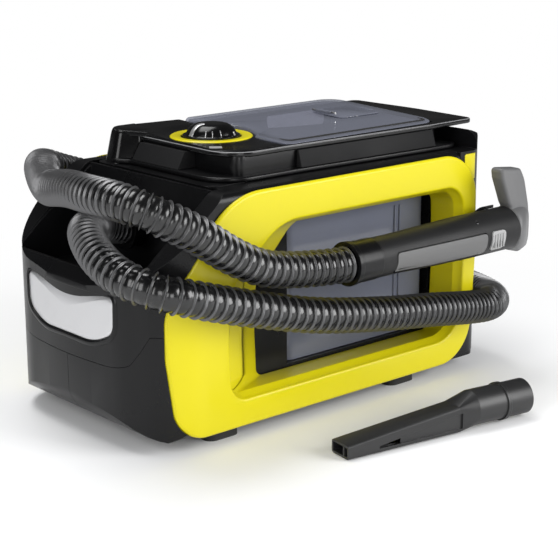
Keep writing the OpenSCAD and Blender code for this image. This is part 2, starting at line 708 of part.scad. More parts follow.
// ---------- fresh-water tank ----------
module fresh_tank() color("#9aa0ad", 0.45) difference() {
    plan_slab(rounded(box_corners(opening_x0 + 2, -tank_half_w, opening_x1 - 3, tank_half_w, 12)),
        fresh_bottom, rim_top - 0.4);
    difference() {
        plan_slab(rounded(box_corners(opening_x0 + 2 + tank_wall, -tank_half_w + tank_wall,
            opening_x1 - 3 - tank_wall, tank_half_w - tank_wall, 10)), fresh_bottom + tank_wall, 300);
        knob_column(ring_r + 4 + tank_wall);
    }
    knob_column(ring_r + 4);
    translate([valve_x, 0, 190]) cylinder(h = 40, r = 6);
}

module fresh_lid() color("#a8adb8", 0.45) difference() {
    union() {
        plan_slab(rounded(box_corners(opening_x0 + 1, -opening_y - 3, opening_x1 + 4, opening_y + 3, 14)),
            rim_top + 0.3, rim_top + 4);
        plan_slab(rounded(box_corners(opening_x0 + 2.5, -opening_y - 1, opening_x1 + 2, opening_y + 1, 12)),
            rim_top + 3, rim_top + 6.4);
        plan_slab(rounded(box_corners(opening_x0 + 5, -opening_y + 2, opening_x1 - 1, opening_y - 2, 10)),
            rim_top + 5, rim_top + 8);
        both_sides() block([flap_x0 - 4, 12, rim_top + 7], [flap_x0 + 2, 17, flap_z + 2.4]);
    }
    difference() {
        plan_slab(rounded(box_corners(opening_x0 + 8, -opening_y + 5, opening_x1 - 4, opening_y - 5, 8)),
            rim_top - 1, rim_top + 5.6);
        knob_column(ring_r + 6);
    }
    knob_column(ring_r + 3);
    plan_slab(rounded(box_corners(flap_x0 + 4, -20, flap_x1 - 4, 20, 6)), rim_top, rim_top + 20);
    // bore of the flap's pin
    translate([flap_x0 - 1, -25, flap_z]) rotate([-90, 0, 0]) cylinder(h = 50, r = 1.3);
}

module lid_seal() color("#101010") difference() {
    plan_slab(rounded(box_corners(opening_x0 + 8.4, -opening_y + 5.4, opening_x1 - 4.4, opening_y - 5.4, 8)),
        rim_top + 0.5, rim_top + 2.6);
    plan_slab(rounded(box_corners(opening_x0 + 11, -opening_y + 8, opening_x1 - 7, opening_y - 8, 6)),
        rim_top, rim_top + 5);
    knob_column(ring_r + 6.4);
}

module outlet_valve() color("#2b2b2d") translate([valve_x, 0, 0]) {
    translate([0, 0, fresh_bottom - 2.6]) cylinder(h = 9, r = 5.8);
    translate([0, 0, fresh_bottom + tank_wall + 0.2]) cylinder(h = 2, r = 10);
}

module flap_pin() color("#b0b0b2") translate([flap_x0 - 1, -17.5, flap_z]) rotate([-90, 0, 0])
    cylinder(h = 35, r = 1.25);

module filler_flap() color("#8d93a1", 0.6) difference() {
    union() {
        plan_slab(rounded(box_corners(flap_x0 + 3, -24, flap_x1, 24, 6)), rim_top + 8.4, rim_top + 11);
        block([flap_x0 - 1, -11.6, rim_top + 8.4], [flap_x0 + 5, 11.6, rim_top + 11]);
        translate([flap_x0 - 1, -11.6, flap_z]) rotate([-90, 0, 0]) cylinder(h = 23.2, r = 1.9);
        block([flap_x1 - 1, -9, rim_top + 9], [flap_x1 + 5, 9, rim_top + 11]);
    }
    translate([flap_x0 - 1, -25, flap_z]) rotate([-90, 0, 0]) cylinder(h = 50, r = 1.3);
}

// ---------- recovery tank ----------
module recovery_tank() color("#8a90a0", 0.5) difference() {
    union() {
        plan_slab(rounded(box_corners(-5, -tank_half_w, 192, tank_half_w, 10)), shelf_z + 0.5, recovery_top);
        // stiffening ribs down each side
        both_sides() for (x = [146, 153])
            block([x - 1.2, tank_half_w - 1, shelf_z + 8], [x + 1.2, tank_half_w + 1.6, recovery_top - 8]);
    }
    difference() {
        plan_slab(rounded(box_corners(-5 + tank_wall, -tank_half_w + tank_wall, 192 - tank_wall,
            tank_half_w - tank_wall, 8)), shelf_z + 0.5 + tank_wall, 300);
        knob_column(ring_r + 4 + tank_wall);
    }
    knob_column(ring_r + 4);
}

module recovery_lid() color("#2b2b2d") difference() {
    plan_slab(rounded(box_corners(-6, -tank_half_w - 1, 193, tank_half_w + 1, 10)), recovery_top + 2.5,
        recovery_top + 8);
    difference() {
        plan_slab(rounded(box_corners(-2, -tank_half_w + 4, 189, tank_half_w - 4, 8)), recovery_top + 4.5,
            recovery_top + 20);
        knob_column(ring_r + 7);
    }
    knob_column(ring_r + 3);
    translate([float_x + 46, 0, 100]) cylinder(h = 200, r = 14);
}

module recovery_seal() color("#101010") difference() {
    plan_slab(rounded(box_corners(-5, -tank_half_w, 192, tank_half_w, 10)), recovery_top + 0.2,
        recovery_top + 2.3);
    difference() {
        plan_slab(rounded(box_corners(-2.5, -tank_half_w + 2.5, 189.5, tank_half_w - 2.5, 8)), 100, 300);
        knob_column(ring_r + 6.5);
    }
    knob_column(ring_r + 4);
}

// Cage under the lid that guides the float
module float_cage() color("#c9b64a", 0.8) translate([float_x, 0, 0]) difference() {
    translate([0, 0, recovery_top - 62]) cylinder(h = 64.3, r = 20);
    translate([0, 0, recovery_top - 60]) cylinder(h = 80, r = 18);
    for (a = [0 : 60 : 150])
        rotate([0, 0, a]) block([-30, -6, recovery_top - 56], [30, 6, recovery_top - 8]);
}

module float_ball() color("#e9e9eb") translate([float_x, 0, recovery_top - 41]) sphere(r = 16, $fn = 48);

// ---------- battery ----------
module battery_case() color("#1b1b1d") difference() {
    cross_slab(rounded(box_corners(-bay_half + 0.6, bay_z0 + 0.8, bay_half - 0.6, bay_z1 - 0.8, 4)),
        chassis_end + 3, rear_x + 3);
    block([chassis_end + 6, -36, bay_z0 + 4], [rear_x, 36, bay_z1 - 23.5]);
    block([chassis_end + 6, -36, bay_z0 + 4], [chassis_end + 26, 36, bay_z1 - 4]);
    block([rear_x - 4, -13, bay_z1 - 19], [rear_x + 9, 13, bay_z1 - 7]);
    // slots that the terminals run into
    for (y = [-15, 0, 15])
        block([chassis_end + 2, y - 2.6, 163], [chassis_end + 7, y + 2.6, 181]);
}

module battery_cells() color("#3565b8") {
    for (z = [bay_z0 + 14, bay_z0 + 33, bay_z0 + 52])
        translate([chassis_end + 16.4, -33, z]) rotate([-90, 0, 0]) cylinder(h = 65, r = 9);
    for (z = [bay_z0 + 14, bay_z0 + 33])
        translate([chassis_end + 34, -33, z]) rotate([-90, 0, 0]) cylinder(h = 65, r = 6.5);
}

module battery_button() color("#eee022")
    cross_slab(rounded(box_corners(-12.7, bay_z1 - 18.7, 12.7, bay_z1 - 7.3, 2)), rear_x + 0.5, rear_x + 4.5);

// ---------- draw ----------
base_pan();
rubber_feet();
lower_shell_left();
lower_shell_right();
upper_front_shell();
hose_tray();
badge_plate();
side_frame_left();
side_frame_right();
main_chassis();
tower_housing();
top_deck();
knob_ring();
carry_rim();
grip_inlays();
rear_housing();
bay_trims();
battery_terminals();
exhaust_grille();
casing_screws();
hose_hook();
suction_port();
hose();
hose_cuff();
wand_shell_near();
wand_shell_far();
wand_clip();
trigger_pin();
motor_can();
motor_mount();
shaft_bearings();
fan_housing();
pump_body();
water_tubes();
control_switch();
circuit_board();
knob();
knob_pointer();
knob_shaft();
fresh_tank();
fresh_lid();
lid_seal();
outlet_valve();
flap_pin();
filler_flap();
recovery_tank();
recovery_lid();
recovery_seal();
float_cage();
float_ball();
battery_case();
battery_cells();
battery_button();
trigger();
nozzle_button();
upholstery_nozzle();
crevice_nozzle();
motor_shaft();
impeller();
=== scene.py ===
import json
import math

import bmesh
import bpy
import numpy as np
from mathutils import Matrix, Vector


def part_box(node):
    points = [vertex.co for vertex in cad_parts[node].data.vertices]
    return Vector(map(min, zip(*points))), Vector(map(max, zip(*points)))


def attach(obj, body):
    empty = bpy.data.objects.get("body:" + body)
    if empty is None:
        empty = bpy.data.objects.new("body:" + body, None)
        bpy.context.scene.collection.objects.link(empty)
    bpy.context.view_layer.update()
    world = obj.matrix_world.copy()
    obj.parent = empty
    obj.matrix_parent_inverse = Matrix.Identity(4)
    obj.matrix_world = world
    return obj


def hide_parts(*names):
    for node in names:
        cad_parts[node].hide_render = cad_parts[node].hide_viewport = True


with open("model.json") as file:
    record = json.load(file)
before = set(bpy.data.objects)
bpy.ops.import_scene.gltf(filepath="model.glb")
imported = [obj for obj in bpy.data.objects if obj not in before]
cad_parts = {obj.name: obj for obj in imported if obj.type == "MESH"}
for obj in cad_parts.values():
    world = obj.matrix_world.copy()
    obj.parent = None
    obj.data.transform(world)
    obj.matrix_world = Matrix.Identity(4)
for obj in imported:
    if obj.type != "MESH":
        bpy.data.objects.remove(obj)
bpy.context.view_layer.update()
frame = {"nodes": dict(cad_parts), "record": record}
MM = 0.001
nodes = frame["nodes"]


def box_mm(node):
    """Low and high corner of a CAD node's box, in millimetres."""
    lo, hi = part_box(node)
    return np.array(lo) / MM, np.array(hi) / MM


# ------------------------------------------------------------------ outlines
def unit(v):
    return v / np.linalg.norm(v)


def rounded(corners, n=12):
    """Outline with rounded corners; each corner is (x, y, radius), counter-clockwise."""
    out = []
    m = len(corners)
    for i, (x, y, r) in enumerate(corners):
        q = np.array((x, y), float)
        u = unit(np.array(corners[i - 1][:2], float) - q)
        w = unit(np.array(corners[(i + 1) % m][:2], float) - q)
        half = math.acos(max(-1.0, min(1.0, float(u @ w)))) / 2
        mid = q + unit(u + w) * r / math.sin(half)
        t0 = q + u * r / math.tan(half) - mid
        t1 = q + w * r / math.tan(half) - mid
        a0 = math.atan2(t0[1], t0[0])
        turn = (math.atan2(t1[1], t1[0]) - a0 + 3 * math.pi) % (2 * math.pi) - math.pi
        for k in range(n + 1):
            a = a0 + turn * k / n
            out.append(mid + r * np.array((math.cos(a), math.sin(a))))
    return np.array(out)


def grow(p, d):
    """Outline moved outwards by d; a negative d moves it inwards."""
    t = np.roll(p, -1, 0) - np.roll(p, 1, 0)
    t = t / np.maximum(np.linalg.norm(t, axis=1), 1e-9)[:, None]
    return p + d * np.stack([t[:, 1], -t[:, 0]], 1)


def mix(a, b, t):
    return a * (1 - t) + b * t


def catmull(points, n):
    """Smooth curve through the points, with n steps between each pair."""
    p = [np.array(q, float) for q in points]
    out = []
    for i in range(len(p) - 1):
        a, b, c, d = p[max(i - 1, 0)], p[i], p[i + 1], p[min(i + 2, len(p) - 1)]
        for k in range(n):
            t = k / n
            out.append(0.5 * (2 * b + (c - a) * t + (2 * a - 5 * b + 4 * c - d) * t * t
                              + (3 * b - a - 3 * c + d) * t ** 3))
    out.append(p[-1])
    return np.array(out)


# ------------------------------------------------------------------ materials
def node_tree(mat):
    mat.use_nodes = True
    tree = mat.node_tree
    tree.nodes.clear()
    return tree


def link(tree, a, b):
    tree.links.new(a, b)


def surface(name, color, rough=0.4, spec=0.5, metal=0.0, coat=0.0, grain=0.35, bump=0.08,
            mottle=0.08, edge=0.6, edge_wear_and_highlight=0.0, alpha=1.0, facing_alpha=None, swirl=None,
            emission=None):
    """Moulded plastic, rubber or metal: broad mottling, fine grain, rounded-edge shading.

    grain and edge are in millimetres; alpha is the opacity face on, facing_alpha at the rim;
    swirl stretches the grain along each axis; emission is (r, g, b, strength).
    """
    mat = bpy.data.materials.new(name)
    tree = node_tree(mat)
    nd = tree.nodes
    out = nd.new("ShaderNodeOutputMaterial")
    bsdf = nd.new("ShaderNodeBsdfPrincipled")
    coord = nd.new("ShaderNodeTexCoord")
    broad = nd.new("ShaderNodeTexNoise")
    broad.inputs["Scale"].default_value = 14.0
    broad.inputs["Detail"].default_value = 4.0
    fine = nd.new("ShaderNodeTexNoise")
    fine.inputs["Scale"].default_value = 1.0 / (grain * MM)
    fine.inputs["Detail"].default_value = 2.0
    if swirl:
        stretch = nd.new("ShaderNodeMapping")
        stretch.inputs["Scale"].default_value = swirl
        link(tree, coord.outputs["Object"], stretch.inputs["Vector"])
        source = stretch.outputs["Vector"]
    else:
        source = coord.outputs["Object"]
    link(tree, coord.outputs["Object"], broad.inputs["Vector"])
    link(tree, source, fine.inputs["Vector"])
    tint = nd.new("ShaderNodeMix")
    tint.data_type = "RGBA"
    c = np.array(color[:3])
    tint.inputs[6].default_value = (*np.clip(c * (1 - mottle), 0, 1), 1)
    tint.inputs[7].default_value = (*np.clip(c * (1 + mottle), 0, 1), 1)
    link(tree, broad.outputs["Fac"], tint.inputs[0])
    base = tint.outputs[2]
    bevel = nd.new("ShaderNodeBevel")
    bevel.samples = 4
    bevel.inputs["Radius"].default_value = edge * MM
    # edges are lightened towards the colour plus this amount: partly wear, partly a painted highlight
    # along the edges
    if edge_wear_and_highlight:
        geo = nd.new("ShaderNodeNewGeometry")
        dot = nd.new("ShaderNodeVectorMath")
        dot.operation = "DOT_PRODUCT"
        link(tree, bevel.outputs["Normal"], dot.inputs[0])
        link(tree, geo.outputs["Normal"], dot.inputs[1])
        wear_and_highlight_mask = nd.new("ShaderNodeMapRange")
        wear_and_highlight_mask.inputs["From Min"].default_value = 0.995
        wear_and_highlight_mask.inputs["From Max"].default_value = 0.8
        wear_and_highlight_mask.inputs["To Max"].default_value = 1.0
        link(tree, dot.outputs["Value"], wear_and_highlight_mask.inputs["Value"])
        lift = nd.new("ShaderNodeMix")
        lift.data_type = "RGBA"
        link(tree, wear_and_highlight_mask.outputs["Result"], lift.inputs[0])
        link(tree, base, lift.inputs[6])
        lift.inputs[7].default_value = (*np.clip(c + edge_wear_and_highlight, 0, 1), 1)
        base = lift.outputs[2]
    link(tree, base, bsdf.inputs["Base Color"])
    varied = nd.new("ShaderNodeMapRange")
    varied.inputs["From Min"].default_value = 0.3
    varied.inputs["From Max"].default_value = 0.7
    varied.inputs["To Min"].default_value = rough * 0.85
    varied.inputs["To Max"].default_value = min(1.0, rough * 1.15)
    link(tree, broad.outputs["Fac"], varied.inputs["Value"])
    link(tree, varied.outputs["Result"], bsdf.inputs["Roughness"])
    bumps = nd.new("ShaderNodeBump")
    bumps.inputs["Strength"].default_value = bump
    bumps.inputs["Distance"].default_value = 0.1 * MM
    link(tree, fine.outputs["Fac"], bumps.inputs["Height"])
    link(tree, bevel.outputs["Normal"], bumps.inputs["Normal"])
    link(tree, bumps.outputs["Normal"], bsdf.inputs["Normal"])
    bsdf.inputs["Metallic"].default_value = metal
    bsdf.inputs["Specular IOR Level"].default_value = spec
    bsdf.inputs["Coat Weight"].default_value = coat
    bsdf.inputs["Coat Roughness"].default_value = 0.06
    if emission:
        bsdf.inputs["Emission Color"].default_value = (*emission[:3], 1)
        bsdf.inputs["Emission Strength"].default_value = emission[3]
    shader = bsdf.outputs["BSDF"]
    if alpha < 1.0 or facing_alpha is not None:
        clear = nd.new("ShaderNodeBsdfTransparent")
        clear.inputs["Color"].default_value = (*np.clip(c * 0.5 + 0.5, 0, 1), 1)
        blend = nd.new("ShaderNodeMixShader")
        if facing_alpha is not None:
            look = nd.new("ShaderNodeLayerWeight")
            look.inputs["Blend"].default_value = 0.35
            ramp = nd.new("ShaderNodeMapRange")
            ramp.inputs["To Min"].default_value = alpha
            ramp.inputs["To Max"].default_value = facing_alpha
            link(tree, look.outputs["Facing"], ramp.inputs["Value"])
            link(tree, ramp.outputs["Result"], blend.inputs[0])
        else:
            blend.inputs[0].default_value = alpha
        link(tree, clear.outputs["BSDF"], blend.inputs[1])
        link(tree, shader, blend.inputs[2])
        shader = blend.outputs["Shader"]
    link(tree, shader, out.inputs["Surface"])
    return mat


def srgb(r, g, b):
    """Linear colour from 0-255 display values."""
    return tuple(((v / 255 + 0.055) / 1.055) ** 2.4 if v > 10 else v / 255 / 12.92
                 for v in (r, g, b))


BLACK = surface("casing_black", (0.004, 0.004, 0.0045), rough=0.3, spec=0.26, edge_wear_and_highlight=0.012)
GLOSS_BLACK = surface("gloss_black", (0.003, 0.003, 0.0033), rough=0.2, spec=0.35, edge_wear_and_highlight=0.015,
                      bump=0.03)
# lighter, metallic look for the hose's wire crests: partly their own finish, partly a painted
# highlight on the ridges
WIRE_SHEEN = surface("hose_wire_sheen", (0.12, 0.12, 0.123), rough=0.3, metal=0.6, bump=0.02, edge=0.1)
# light grey for the rim's top edge: a painted highlight
LIP_HIGHLIGHT = surface("rim_edge_highlight", (0.2, 0.2, 0.205), rough=0.35, bump=0.03)
YELLOW = surface("yellow_plastic", (0.63, 0.55, 0.004), rough=0.34, spec=0.3, coat=0.08,
                 mottle=0.02, bump=0.03, edge=0.8)
HOSE = surface("hose_black", (0.003, 0.003, 0.0033), rough=0.26, spec=0.55, coat=0.25,
               bump=0.02, edge=0.1)
GRIP = surface("grip_grey", srgb(24, 24, 25), rough=0.6, spec=0.2, grain=0.6, bump=0.35,
               edge_wear_and_highlight=0.02)
SILVER = surface("badge_silver", (0.62, 0.62, 0.63), rough=0.32, metal=0.75, mottle=0.05,
                 swirl=(1, 0.04, 1))
WAND = surface("wand_grey", (0.011, 0.011, 0.0115), rough=0.42, spec=0.25, edge_wear_and_highlight=0.03)
INLAY = surface("inlay_grey", srgb(92, 92, 92), rough=0.5, edge_wear_and_highlight=0.05)
BUTTON = surface("button_grey", srgb(150, 150, 150), rough=0.45, edge_wear_and_highlight=0.1)
NOZZLE = surface("nozzle_grey", (0.11, 0.11, 0.112), rough=0.42, edge_wear_and_highlight=0.05)
TOOL = surface("tool_grey", (0.014, 0.014, 0.0145), rough=0.42, edge_wear_and_highlight=0.03)
RUBBER = surface("rubber", (0.015, 0.015, 0.015), rough=0.8, grain=0.8, bump=0.5)
STEEL = surface("steel", (0.6, 0.6, 0.61), rough=0.28, metal=1.0, swirl=(1, 1, 0.03), bump=0.2)
MOTOR = surface("motor_steel", (0.4, 0.4, 0.41), rough=0.4, metal=0.9, bump=0.15)
BOARD = surface("board_green", (0.02, 0.14, 0.06), rough=0.5, grain=1.5, bump=0.4)
CELLS = surface("cell_blue", (0.04, 0.12, 0.45), rough=0.35)
FLOAT = surface("float_white", (0.85, 0.85, 0.86), rough=0.4)
CAGE = surface("cage_yellow", (0.62, 0.52, 0.12), rough=0.45)
MILKY = surface("tube_clear", (0.8, 0.8, 0.8), rough=0.3, alpha=0.6)
CLEAR = surface("clear_lid", srgb(150, 153, 166), rough=0.1, spec=0.5, bump=0.01, mottle=0.06,
                alpha=0.26, facing_alpha=0.5, edge=0.2)
# pale and faintly glowing: a painted glare seen through the lid
PALE_GLOW = surface("tank_glare", srgb(225, 224, 240), rough=0.3, bump=0.02, mottle=0.05,
               emission=(0.8, 0.79, 0.9, 0.35))
TANK = surface("clear_tank", srgb(126, 130, 146), rough=0.12, spec=0.6, bump=0.02, mottle=0.1,
               alpha=0.72, facing_alpha=0.95, edge=0.5)

LOOKS = {
    "casing_black": BLACK, "yellow_plastic": YELLOW, "grip_grey": GRIP, "badge_silver": SILVER,
    "hose_black": HOSE, "wand_grey": WAND, "inlay_grey": INLAY, "button_grey": BUTTON,
    "nozzle_grey": NOZZLE, "clear_tank": TANK, "clear_lid": CLEAR, "rubber": RUBBER, "steel": STEEL,
    "motor_steel": MOTOR, "board_green": BOARD, "cell_blue": CELLS, "float_white": FLOAT,
    "cage_yellow": CAGE, "tube_clear": MILKY,
}


# ------------------------------------------------------------------ CAD nodes
WELD_MM = 0.02        # corners closer than this are one corner
SHARP_DEGREES = 28    # a CAD edge that turns more than this stays sharp


def smoothing_group():
    """Geometry nodes: weld the import's split corners, then smooth all but the sharp edges."""
    g = bpy.data.node_groups.new("weld_and_smooth", "GeometryNodeTree")
    g.interface.new_socket("Geometry", in_out="INPUT", socket_type="NodeSocketGeometry")
    g.interface.new_socket("Geometry", in_out="OUTPUT", socket_type="NodeSocketGeometry")
    a = g.nodes.new("NodeGroupInput")
    z = g.nodes.new("NodeGroupOutput")
    weld = g.nodes.new("GeometryNodeMergeByDistance")
    weld.inputs["Distance"].default_value = WELD_MM * MM
    faces = g.nodes.new("GeometryNodeSetShadeSmooth")
    faces.domain = "FACE"
    edges = g.nodes.new("GeometryNodeSetShadeSmooth")
    edges.domain = "EDGE"
    edges.inputs["Shade Smooth"].default_value = False
    angle = g.nodes.new("GeometryNodeInputMeshEdgeAngle")
    test = g.nodes.new("FunctionNodeCompare")
    test.data_type = "FLOAT"
    test.operation = "GREATER_THAN"
    test.inputs[1].default_value = math.radians(SHARP_DEGREES)
    g.links.new(a.outputs[0], weld.inputs["Geometry"])
    g.links.new(weld.outputs["Geometry"], faces.inputs["Geometry"])
    g.links.new(faces.outputs["Geometry"], edges.inputs["Geometry"])
    g.links.new(angle.outputs["Unsigned Angle"], test.inputs[0])
    g.links.new(test.outputs["Result"], edges.inputs["Selection"])
    g.links.new(edges.outputs["Geometry"], z.inputs[0])
    return g


SMOOTH = smoothing_group()
slot_of = {s["node"]: s["material_slot"] for s in frame["record"]["subparts"]}
# nodes whose look is finer than their material slot
OVERRIDE = {"crevice_nozzle": TOOL, "control_switch": GLOSS_BLACK}
for name, obj in nodes.items():
    look = OVERRIDE.get(name, LOOKS[slot_of[name]])
    obj.data.materials.clear()
    obj.data.materials.append(look)
    mod = obj.modifiers.new("smooth", "NODES")
    mod.node_group = SMOOTH


# ------------------------------------------------------------------ new pieces
def piece(name, verts, faces, body, look, slot=None, replaces=(), sharp=32, second=None):
    """Mesh object in millimetres, riding on a body.

    slot is the record's material slot and is not used, replaces lists the CAD nodes it stands in for,
    sharp is the angle in degrees above which an edge is sharp, second is (look, set of face numbers).
    """
    mesh = bpy.data.meshes.new(name)
    mesh.from_pydata([tuple(np.array(v) * MM) for v in verts], [],
                     [list(map(int, f)) for f in faces])
    if second:
        mesh.polygons.foreach_set("material_index",
                                  [int(i in second[1]) for i in range(len(faces))])
    bm = bmesh.new()
    bm.from_mesh(mesh)
    bmesh.ops.remove_doubles(bm, verts=bm.verts, dist=0.002 * MM)
    bmesh.ops.recalc_face_normals(bm, faces=bm.faces)
    bm.to_mesh(mesh)
    bm.free()
    mesh.shade_smooth()
    mesh.set_sharp_from_angle(angle=math.radians(sharp))
    mesh.materials.append(look)
    if second:
        mesh.materials.append(second[0])
    obj = bpy.data.objects.new(name, mesh)
    bpy.context.scene.collection.objects.link(obj)
    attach(obj, body)
    if replaces:
        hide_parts(*replaces)


def skin(loops, cyclic=False):
    """Vertices and faces through loops of equal length, capped unless cyclic."""
    n = len(loops[0])
    verts = [p for loop in loops for p in loop]
    faces = []
    m = len(loops)
    for i in range(m if cyclic else m - 1):
        a, b = i * n, ((i + 1) % m) * n
        for k in range(n):
            j = (k + 1) % n
            faces.append((a + k, a + j, b + j, b + k))
    if not cyclic:
        faces.append(tuple(range(n))[::-1])
        faces.append(tuple(range((m - 1) * n, m * n)))
    return verts, faces


def join(*parts):
    """Several (vertices, faces) pairs as one."""
    verts, faces = [], []
    for v, f in parts:
        o = len(verts)
        verts += list(v)
        faces += [tuple(i + o for i in face) for face in f]
    return verts, faces


def flip_y(part):
    """Mirror image across the machine's centre plane."""
    v, f = part
    return [(p[0], -p[1], p[2]) for p in v], [tuple(reversed(face)) for face in f]


def rect(x0, y0, x1, y1, r, n=8):
    """Rectangle with rounded corners."""
    return rounded([(x0, y0, r), (x1, y0, r), (x1, y1, r), (x0, y1, r)], n)


# ---- yellow side frames
# half the casing's width, the radius of its vertical corners, and where they begin
HALF_W, CORNER_R, BEND_X = 125.0, 64.0, -144.5
# outlines in the side's own plane, (x, z, corner radius): the frame's edge, the window's edge, and
# the end of the funnel behind the window
FRAME = rounded([(-182, 91, 80), (-173.5, 12.5, 32), (214, 12.5, 46), (221, 120, 300), (219, 236, 48),
                 (-113, 236, 75), (-148.3, 189.6, 1150), (-182, 142, 60)], 16)
WINDOW = rounded([(-116.5, 92, 150), (-114, 39.5, 20), (198, 39.5, 36), (200.5, 120, 150),
                  (198.5, 202.5, 24), (-52, 202.5, 60), (-83.5, 175.8, 1000), (-114, 148, 40)], 16)
FUNNEL = rounded([(-52.5, 88, 100), (-50.5, 41, 8), (193, 41, 10), (195.5, 115, 150), (193, 191, 10),
                  (0, 191, 40), (-25.8, 164.5, 900), (-50.5, 137, 30)], 16)


def drop(x):
    """How far the casing's side has curved inwards at x."""
    return CORNER_R - math.sqrt(CORNER_R ** 2 - (BEND_X - x) ** 2) if x < BEND_X else 0.0


def side_frame():
    """Closed ring section: rounded outer edge, crowned face, rounded window edge, ledge, funnel."""
    half, back, inner = HALF_W, 120.9, 84.0    # distances of face, back and funnel end from y = 0
    edge_r, lip_r, crown = 3, 2.6, 0.35
    rings = [(FRAME, back), (FRAME, half - edge_r)]
    for a in (20, 40, 60, 80, 90):
        t = math.radians(a)
        rings.append((grow(FRAME, -edge_r * (1 - math.cos(t))), half - edge_r + edge_r * math.sin(t)))
    outer, lip = grow(FRAME, -edge_r), grow(WINDOW, lip_r)
    for t in (0.06, 0.18, 0.32, 0.46, 0.6, 0.74, 0.88):
        rings.append((mix(outer, lip, t), half + crown * math.sin(math.pi * t)))
    for a in (0, 25, 50, 75, 90):
        t = math.radians(a)
        rings.append((grow(WINDOW, lip_r * (1 - math.sin(t))), half - lip_r + lip_r * math.cos(t)))
    ledge, ledge_in = grow(WINDOW, -0.6), grow(WINDOW, -4.6)
    rings += [(ledge, half - 4.2), (mix(ledge, ledge_in, 0.5), half - 7.4), (ledge_in, half - 10)]
    for t in (0.03, 0.3, 0.6, 0.97):
        rings.append((mix(ledge_in, FUNNEL, t), mix(half - 10, inner, t)))
    rings += [(FUNNEL, inner), (grow(FUNNEL, 2.4), inner), (grow(WINDOW, 3), back)]
    for t in (0.2, 0.4, 0.6, 0.8):
        rings.append((mix(grow(WINDOW, 3), FRAME, t), back))
    return skin([[(x, drop(x) - d, z) for x, z in p] for p, d in rings], cyclic=True)


piece("frame_near", *side_frame(), "machine", YELLOW, "yellow_plastic",
      ["side_frame_left"], 30)
piece("frame_far", *flip_y(side_frame()), "machine", YELLOW, "yellow_plastic",
      ["side_frame_right"], 30)


# ---- ribbed suction hose
def hose_path():
    """Centre line from the suction port, round the badge end, along the near side, round the rear,
    along the far side, and round the badge end again to the wand's cuff."""
    port = (box_mm("suction_port")[0] + box_mm("suction_port")[1]) / 2
    cuff = (box_mm("hose_cuff")[0] + box_mm("hose_cuff")[1]) / 2
    py, pz, wy, wz = port[1], port[2], cuff[1], cuff[2]
    sy = 148    # distance of the hose's straight runs from the centre plane
    pts = [(-109, py, pz), (-125, py, pz), (-141, py, pz + .3), (-172, 4, 196), (-201, -22, 198),
           (-218, -62, 187), (-222, -102, 176), (-209, -134, 167), (-179, -sy, 157), (-110, -sy, 135),
           (-30, -sy, 113), (60, -sy, 97), (130, -sy, 87.5), (187, -sy, 79), (219, -146, 76),
           (244, -129.5, 75), (257, -96, 75.5), (260, -50, 79), (262, 0, 85), (260, 52, 93),
           (257, 96, 103), (244, 129.5, 113), (219, 146, 122), (185, sy, 131), (100, sy, 155),
           (0, sy, 186), (-70, sy, 206), (-113, sy, 220), (-137, 143.5, 229), (-155, 122, 232),
           (-171, 92, 227), (-187, 58, 226), (-205, 20, 234), (-219, -26, 242), (-229, -74, 245.5),
           (-227, -114, 245), (-210, -139, 235.5), (-174, -sy, 215), (-132, -sy, 188), (-97, -sy, 171),
           (-62, -sy, 163), (-26, -sy - 2, 159), (0, wy, wz), (27, wy, wz)]
    return catmull(pts, 16)


def sweep(path, radii_at, sides):
    """Loops of a tube along a path; radii_at is a list of (arc length, radius)."""
    s = np.concatenate([[0], np.cumsum(np.linalg.norm(np.diff(path, axis=0), axis=1))])
    tangent = np.gradient(path, s, axis=0)
    tangent /= np.linalg.norm(tangent, axis=1)[:, None]
    loops = []
    for q, r in radii_at:
        c = np.array([np.interp(q, s, path[:, k]) for k in range(3)])
        t = unit(np.array([np.interp(q, s, tangent[:, k]) for k in range(3)]))
        level = unit(np.array((t[1], -t[0], 0.0)))
        up = np.cross(level, t)
        a = np.arange(sides) * 2 * math.pi / sides
        loops.append(c + r * (np.cos(a)[:, None] * level + np.sin(a)[:, None] * up))
    return loops


# spacing of the hose's rings, as (distance along the hose, gap): tight in the bends, open where
# it hangs free
RIB_GAPS = [(0, 5), (60, 5), (110, 6), (160, 8.5), (220, 10.5), (320, 11.5), (420, 10.5), (470, 9),
            (560, 8), (620, 6.6), (680, 5.4), (760, 5.4), (850, 8), (1000, 9), (1200, 9),
            (1350, 6.5), (1430, 6), (1500, 6.6), (1560, 7.4), (1660, 7.4), (1720, 9), (1800, 11),
            (1870, 9.5), (1950, 8)]
HOSE_R, WIRE_R, WIRE_DEPTH = 17.5, 0.6, 2.1
HOSE_END = 1.5    # no wire is centred nearer to either end


def hose_profile(length):
    """(arc length, radius, is wire) along the hose: thin wires proud of glossy bands."""
    out = []
    q = HOSE_END
    low = HOSE_R - WIRE_DEPTH
    while q < length - HOSE_END:
        gap = float(np.interp(q, *zip(*RIB_GAPS)))
        for u in (-1, -0.7, 0, 0.7, 1):
            out.append((q + u * WIRE_R, low + WIRE_DEPTH * math.sqrt(max(0.0, 1 - u * u)), True))
        w = gap - 2 * WIRE_R
        for t, d in ((0.08, -0.5), (0.22, 0.1), (0.5, 0.35), (0.78, 0.1), (0.92, -0.5)):
            out.append((q + WIRE_R + w * t, low + d, False))
        q += gap
    return [v for v in out if 0 <= v[0] <= length]


path = hose_path()
total = float(np.sum(np.linalg.norm(np.diff(path, axis=0), axis=1)))
ribs = hose_profile(total)
SIDES = 36
# faces on the wire crests take the lighter look, partly a painted highlight
wire = {i * SIDES + k for i in range(len(ribs) - 1) if ribs[i][2] and ribs[i + 1][2]
        for k in range(SIDES)}
piece("ribbed_hose", *skin(sweep(path, [v[:2] for v in ribs], SIDES)), "machine", HOSE,
      "hose_black", ["hose"], 60, (WIRE_SHEEN, wire))


